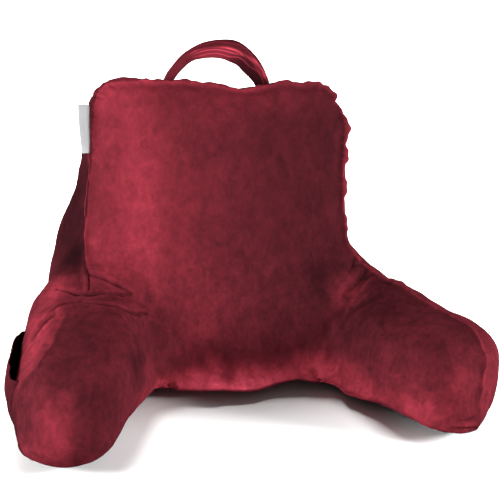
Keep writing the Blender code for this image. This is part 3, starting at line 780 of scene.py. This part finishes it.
def velvet(name):
    """The velvet's material. The tone is the lie of the pile with painted light and shade, which the piece
    keeps as nap, plus noise at five scales, and a ramp turns it into the pile's colour."""
    finish = Finish(
        name, Roughness=0.88, Specular_IOR_Level=0.0, Sheen_Weight=0.014, Sheen_Roughness=0.28,
        Sheen_Tint=(1.0, 0.10, 0.16, 1),
    )
    nap = finish.node("ShaderNodeAttribute", {"attribute_name": "nap"}, {}, "Fac")
    brushed = finish.node("ShaderNodeAttribute", {"attribute_name": "brushed"}, {}, "Fac")
    place = finish.node("ShaderNodeTexCoord", {}, {}, "Object")

    def noise(scale, detail, rough, stretch=(1, 1, 1), turned=(0, 0, 0), warp=0.0):
        spot = finish.node("ShaderNodeMapping", {}, {"Vector": place, "Scale": stretch, "Rotation": turned})
        sockets = {"Vector": spot, "Scale": scale, "Detail": detail, "Roughness": rough, "Distortion": warp}
        return finish.node("ShaderNodeTexNoise", {}, sockets) - 0.5

    blots = noise(11, 3, 0.55, warp=0.4)
    streaks = noise(38, 3, 0.6, stretch=(1.1, 1, 0.60), turned=(0, math.radians(12), 0), warp=0.8)
    dabs = noise(75, 2, 0.5, stretch=(1, 1, 0.8), warp=0.5)
    flecks = noise(170, 2, 0.5, stretch=(1, 1, 0.8))
    grain = noise(420, 2, 0.7)
    marks = streaks * 0.80 + dabs * 0.55 + flecks * 0.40
    tone = nap + blots * 0.28 + (marks * brushed + grain * 0.13) * (nap * 0.6 + 0.6)
    span = MOST_TONE - LEAST_TONE
    ramp_place = (tone - LEAST_TONE) * (1 / span)
    steps = 18
    stops = [(k / steps, pile_colour(LEAST_TONE + span * k / steps)) for k in range(steps + 1)]
    finish.drive("Base Color", finish.node("ShaderNodeValToRGB", {"stops": stops}, {"Fac": ramp_place}))
    height = marks * 0.5 + grain * 0.5
    bump = {"Strength": 0.5, "Distance": 0.0012, "Height": height}
    finish.drive("Normal", finish.node("ShaderNodeBump", {}, bump))
    return finish.material


skin.materials.clear()
skin.materials.append(velvet("velvet_cover"))
skin.shade_smooth()
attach(cover, "root")
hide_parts("pillow_body")

# ---------------------------------------------------------------------------------------------- handle
# The handle is a strip of the same velvet folded round a thin wadding into a flat strap, arched over the
# top and sewn into the top's back edge. It is twisted towards its right foot, which creases it lengthwise.

StrapRow = namedtuple("StrapRow", "x z turn bend wide thick crease")
STRAP = (
    StrapRow(-0.1000, 0.4200, 12, 0, 0.030, 0.0095, 0.2),
    StrapRow(-0.0880, 0.4550, 10, 0, 0.030, 0.0090, 0.2),
    StrapRow(-0.0767, 0.4760, 8, 0, 0.031, 0.0085, 0.2),
    StrapRow(-0.0570, 0.4985, 6, 10, 0.033, 0.0080, 0.3),
    StrapRow(-0.0290, 0.5130, 5, 45, 0.036, 0.0075, 0.7),
    StrapRow(0.0040, 0.5165, 5, 80, 0.043, 0.0075, 0.9),
    StrapRow(0.0310, 0.5100, 5, 95, 0.049, 0.0075, 1.0),
    StrapRow(0.0550, 0.4930, 0, 100, 0.050, 0.0080, 1.2),
    StrapRow(0.0725, 0.4700, -5, 100, 0.044, 0.0085, 1.3),
    StrapRow(0.0845, 0.4450, -10, 95, 0.037, 0.0090, 1.3),
    StrapRow(0.0915, 0.4200, -15, 90, 0.033, 0.0095, 1.2),
)
STRAP_Y = 0.108
STRAP_SECTION = 0.6, 0.8  # the powers of its cross-section's power circle
BEND_TIGHT = 2.2
BEND_PLACES = 61
STRAP_CREASE = 0.0020
# Sharp lengthwise creases, which start where the front half of the strap begins to hang and run together
# towards the right foot: each one's place across the width at its start and at the foot.
StrapCrease = namedtuple("StrapCrease", "start foot")
STRAP_CREASES = (
    StrapCrease(-0.14, -0.02), StrapCrease(-0.38, -0.12), StrapCrease(-0.70, -0.30), StrapCrease(0.34, 0.16),
)
CREASE_ACROSS = 0.04


def power_circle(angle, flat, round_):
    """A circle's two parts, each raised to a power that keeps its sign: under 1 it is nearer a box."""
    c, s = np.cos(angle), np.sin(angle)
    return np.sign(c) * np.abs(c) ** flat, np.sign(s) * np.abs(s) ** round_


def grid_faces(rows, columns, closed):
    """The quads between neighbours on a grid of points, whose columns may join up into rings."""
    index = np.arange(rows * columns).reshape(rows, columns)
    right = np.roll(index, -1, axis=1)
    low, next_low = index[:-1], right[:-1]
    high, next_high = index[1:], right[1:]
    quads = np.stack([low, next_low, next_high, high], axis=-1)
    return (quads if closed else quads[:, :-1]).reshape(-1, 4)


def new_piece(name, points, faces):
    mesh = bpy.data.meshes.new(name)
    mesh.from_pydata(points.reshape(-1, 3), [], [list(map(int, face)) for face in faces])
    mesh.validate()
    mesh.shade_smooth()
    made = bpy.data.objects.new(name, mesh)
    scene.collection.objects.link(made)
    return made


def outward(mesh):
    """Recalculates a closed mesh's normals so that its faces point out."""
    work = bmesh.new()
    work.from_mesh(mesh)
    bmesh.ops.recalc_face_normals(work, faces=work.faces)
    work.to_mesh(mesh)
    work.free()


def bent_width(wide, turn, bend, sides):
    """Where each share of the strap's width, from -1 at the front edge to 1 at the rear edge, lies on its
    bent middle line: how far towards the rear, how far off the strap's face, and the angle there. The
    angle eases from turn at the rear edge to turn and bend at the front."""
    share = np.linspace(-1, 1, BEND_PLACES)
    angle = np.radians(turn + bend / 2 * (1 - np.tanh(BEND_TIGHT * share) / np.tanh(BEND_TIGHT)))
    step = wide / 2 * np.diff(share)
    found = []
    for slope in (np.cos(angle), np.sin(angle)):
        place = np.concatenate([[0], np.cumsum((slope[1:] + slope[:-1]) / 2 * step)])
        found.append(np.interp(sides, share, place - place[BEND_PLACES // 2]))
    return *found, np.interp(sides, share, angle)


def strap_creases(side, share):
    """Ridges along the strap's creases: the sum of a narrow bell curve across each, whose place eases from
    its start to its foot and wanders a little."""
    found = 0.0
    for k, crease in enumerate(STRAP_CREASES):
        place = crease.start + (crease.foot - crease.start) * eased(share, 0.35, 0.85)
        place = place + 0.05 * np.sin((19 + 9 * k) * share + 2.0 * k)
        found = found + (1.0 - 0.2 * k) * bump_at(side - place, CREASE_ACROSS)
    return found * eased(share, 0.27, 0.38)


def strap_rings(count=280, around=160):
    """Rings along the strap's curve, each a flat power circle bent across its width, whose surface is
    raised along the creases. Gives the points, and each point's share of the width and of the length."""
    table = curve_through(STRAP, count)
    line = np.column_stack([table[:, 0], np.full(count, STRAP_Y), table[:, 1]])
    broad = np.array((0.0, 1.0, 0.0))
    flat = np.cross(np.gradient(line, axis=0), broad)
    flat /= np.linalg.norm(flat, axis=1)[:, None]
    side, rise = power_circle(np.linspace(0, 2 * np.pi, around, endpoint=False), *STRAP_SECTION)
    rings = []
    for k, (turn, bend, wide, thick, crease) in enumerate(table[:, 2:]):
        share = k / (count - 1)
        back, off, angle = bent_width(wide * (1 + 0.03 * math.sin(37 * share)), turn, bend, side)
        uneven = 1 + 0.12 * np.sin(40 * share + 3 * side)
        proud = thick / 2 * rise * uneven + STRAP_CREASE * crease * strap_creases(side, share) * rise
        back, off = back - np.sin(angle) * proud, off + np.cos(angle) * proud
        rings.append(line[k] + np.outer(back, broad) + np.outer(off, flat[k]))
    sides, shares = np.meshgrid(side, np.linspace(0, 1, count))
    return np.array(rings), sides, shares


def strap_tone_and_painted_light(side, share):
    """The part that hangs down in front carries a painted sheen at first and painted shade towards the right
    foot, which climbs up from its lower edge. The rest is the plain outer band, with painted shade there
    too. The creases carry painted highlights."""
    hanging = eased(share, 0.28, 0.36) * (1 - eased(side, -0.12, 0.00))
    light = 1 - eased(share, 0.48, 0.66)
    low_edge = -0.95 + 0.65 * eased(share, 0.42, 0.75)
    low = 1 - eased(side, low_edge - 0.10, low_edge + 0.10)
    band = 0.48 - 0.30 * eased(share, 0.50, 0.75)
    return band + hanging * (0.50 * light - 0.10 - 0.15 * low) + 1.5 * strap_creases(side, share)


rings, sides, shares = strap_rings()
count, around = sides.shape
caps = [list(range(around)), list(range(count * around - 1, (count - 1) * around - 1, -1))]
handle = new_piece("velvet_handle", rings, list(grid_faces(count, around, closed=True)) + caps)
outward(handle.data)
store(handle.data, "nap", strap_tone_and_painted_light(sides, shares).ravel())
store(handle.data, "brushed", np.full(sides.size, 0.4))
handle.data.materials.append(velvet("velvet_handle"))
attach(handle, "root")
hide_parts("handle")

# ---------------------------------------------------------------------------------------------- pocket
# The pocket is a patch of the velvet with a hemmed mouth, sewn to the left arm's outer side along its
# foot and both ends. It was cut longer than the arm behind it, so its mouth gapes.

ArmRow = namedtuple("ArmRow", "x y z wide")
LEFT_ARM = (
    ArmRow(-0.150, 0.100, 0.095, 0.080), ArmRow(-0.188, 0.020, 0.100, 0.094),
    ArmRow(-0.214, -0.070, 0.098, 0.108), ArmRow(-0.242, -0.165, 0.092, 0.110),
    ArmRow(-0.270, -0.250, 0.088, 0.095), ArmRow(-0.287, -0.312, 0.084, 0.083),
    ArmRow(-0.295, -0.352, 0.080, 0.067), ArmRow(-0.301, -0.376, 0.076, 0.032),
)
POCKET_BACK, POCKET_FRONT = 0.430, 0.700  # shares of the arm's table
POCKET_FOOT, POCKET_MOUTH = 0.030, 0.126
POCKET_GAPE = 0.017
GAPE_ROUND, GAPE_FALL = 0.6, 0.50
POCKET_CLOTH = 0.002
HEM_TALL = 0.014
HEM_PROUD = 0.0008


def patch_points(across=110, tall=72):
    """A grid that stands off the arm's side, seen out from the arm's axis, for laying on the cover."""
    table = curve_through(LEFT_ARM, 401)
    run = np.gradient(table[:, :2], axis=0)
    run /= np.linalg.norm(run, axis=1)[:, None]
    place = np.round(np.linspace(POCKET_BACK, POCKET_FRONT, across) * 400).astype(int)
    axis, wide = table[place, :3], table[place, 3]
    out = np.stack([run[place, 1], -run[place, 0], np.zeros(across)], axis=1)
    height = np.linspace(POCKET_FOOT, POCKET_MOUTH, tall)
    look = out[:, None] * wide[:, None, None] + np.zeros((across, tall, 1))
    look[:, :, 2] = height[None, :] - axis[:, None, 2]
    look /= np.linalg.norm(look, axis=2)[:, :, None]
    return axis[:, None] + look * (wide.max() + 0.02), out


def gaping(on_arm, out):
    """The patch stood off the arm: nothing at the foot and the ends, most at the mouth's middle, where a
    half sine along the arm meets a straight rise. The mouth's hem is a little proud, and puckers run in
    from the sewn ends."""
    across, tall = on_arm.shape[:2]
    u, v = np.linspace(0, 1, across)[:, None], np.linspace(0, 1, tall)[None, :]
    gape = POCKET_GAPE * np.sin(np.pi * u) ** GAPE_ROUND * v**GAPE_FALL
    from_mouth = (1 - v) * (POCKET_MOUTH - POCKET_FOOT)
    hem = HEM_PROUD * (1 - eased(from_mouth, HEM_TALL - 0.001, HEM_TALL + 0.001))
    stitches = -0.0009 * bump_at(from_mouth - HEM_TALL, 0.0016)
    edge = np.minimum(np.minimum(u, 1 - u) * 0.17, v * 0.108)
    pucker = 0.0009 * np.exp(-edge / 0.012) * np.sin(2 * np.pi * (8 * v + 11 * u) + 2 * np.sin(7 * v))
    sag = 0.0012 * lumps(on_arm.reshape(-1, 3), 0.045, seed=8).reshape(across, tall)
    sewn = 0.0030 * np.exp(-edge / 0.003)
    off = gape + hem + stitches + pucker + sag * np.sin(np.pi * u) ** 0.5 * v**0.5 - sewn
    return on_arm + out[:, None] * off[..., None]


base, out = patch_points()
across_count, tall_count = base.shape[:2]
pocket = new_piece("velvet_pocket", base, grid_faces(across_count, tall_count, closed=False))
lay = pocket.modifiers.new("laid_on_cover", "SHRINKWRAP")
lay.target = cover
lay.wrap_method = "NEAREST_SURFACEPOINT"
lay.wrap_mode = "OUTSIDE_SURFACE"
lay.offset = 0.0006
apply_modifiers(pocket)
laid = averaged(points_of(pocket.data), edges_of(pocket.data), 0.5, 6).reshape(across_count, tall_count, 3)
move_points(pocket.data, gaping(laid, out).reshape(-1, 3))
facing = normals_of(pocket.data).mean(axis=0) @ out.mean(axis=0)
if facing < 0:
    pocket.data.flip_normals()
thickness = pocket.modifiers.new("cloth", "SOLIDIFY")
thickness.thickness = POCKET_CLOTH
thickness.offset = 1.0
apply_modifiers(pocket)
places = points_of(pocket.data)
store(pocket.data, "nap", 0.12 + 0.25 * eased(places[:, 1], -0.26, -0.15))  # darker towards the tip
store(pocket.data, "brushed", np.full(len(places), 0.7))
pocket.data.shade_smooth()
pocket.data.materials.append(velvet("velvet_pocket"))
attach(pocket, "root")
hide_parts("arm_pocket")

# ------------------------------------------------------------------------------------------------- tab
# The tab is a short length of pale grey woven tape, folded in two, its ends caught in the left seam. Its
# face is left blank, and its lower outer corner curls back.

TAB_TOP = 0.464  # up the backrest's slope
TAB_LONG = 0.079
TAB_WIDE = 0.016
TAB_SEWN = 0.012
TAB_CURL = 0.008
TAB_NARROWS = 0.25
TAB_BEHIND = 0.014  # how far the sewn edge lies behind the panel's edge
ROUND_FROM = 0.92  # the share of the width where the fold's round begins
TAPE_THICK = 0.0006
FOLD_GAP = 0.0007


def tab_points(down_count=60, half=16):
    """A grid down the tab, whose columns go out along its front layer, round the fold and back along its
    rear layer."""
    down = np.linspace(0, 1, down_count)[:, None]
    out = np.concatenate([np.linspace(0, 1, half), np.linspace(1, 0, half)])[None, :]
    layer = np.concatenate([np.ones(half), -np.ones(half)])[None, :]
    up = TAB_TOP - TAB_LONG * down
    left_side = BACKREST_EDGE[4::-1]  # from its top down
    seam_x = np.interp(-up, [-edge.up for edge in left_side], [edge.x for edge in left_side])
    x = seam_x + TAB_SEWN - out * (TAB_WIDE + TAB_SEWN) * (1 - TAB_NARROWS * down**2)
    near_fold = np.sqrt(np.clip(1 - (np.maximum(out - ROUND_FROM, 0) / (1 - ROUND_FROM)) ** 2, 0, 1))
    sewn = np.clip(1 - out * (TAB_WIDE + TAB_SEWN) / TAB_SEWN, 0, 1)
    off = layer * FOLD_GAP * near_fold - TAB_CURL * down**2 * out**2 + 0.0008 * np.sin(5 * down + 3 * out)
    off = off - TAB_BEHIND * sewn
    y = PANEL_FOOT_Y + up * math.sin(RECLINE) - off * math.cos(RECLINE)
    z = up * math.cos(RECLINE) + off * math.sin(RECLINE) + 0 * out
    return np.stack(np.broadcast_arrays(x, y, z), axis=-1)


grid = tab_points()
tab = new_piece("blank_tab", grid, grid_faces(*grid.shape[:2], closed=False))
thickness = tab.modifiers.new("tape", "SOLIDIFY")
thickness.thickness = TAPE_THICK
thickness.offset = 0.0
apply_modifiers(tab)
outward(tab.data)
tab.data.shade_smooth()


def woven_tape(name):
    """Pale grey tape: fine ribs of warp and weft, a step apart, light up the colour and the bump."""
    finish = Finish(name, Roughness=0.7, Specular_IOR_Level=0.3, Sheen_Weight=0.2)
    place = finish.node("ShaderNodeTexCoord", {}, {}, "Object")

    def ribs(direction, scale):
        settings = {"wave_type": "BANDS", "bands_direction": direction}
        sockets = {"Vector": place, "Scale": scale, "Distortion": 0.6}
        return finish.node("ShaderNodeTexWave", settings, sockets)

    weave = ribs("X", 480) * 0.5 + ribs("Z", 700) * 0.5
    soil = finish.node("ShaderNodeTexNoise", {}, {"Vector": place, "Scale": 60.0, "Detail": 3.0})
    shade = weave * 0.35 + soil * 0.4 + 0.2
    stops = [(0.0, (0.12, 0.12, 0.124)), (1.0, (0.23, 0.23, 0.235))]
    finish.drive("Base Color", finish.node("ShaderNodeValToRGB", {"stops": stops}, {"Fac": shade}))
    bump = {"Strength": 0.4, "Distance": 0.0003, "Height": weave}
    finish.drive("Normal", finish.node("ShaderNodeBump", {}, bump))
    return finish.material


tab.data.materials.append(woven_tape("woven_tape"))
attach(tab, "root")
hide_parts("label_tab")
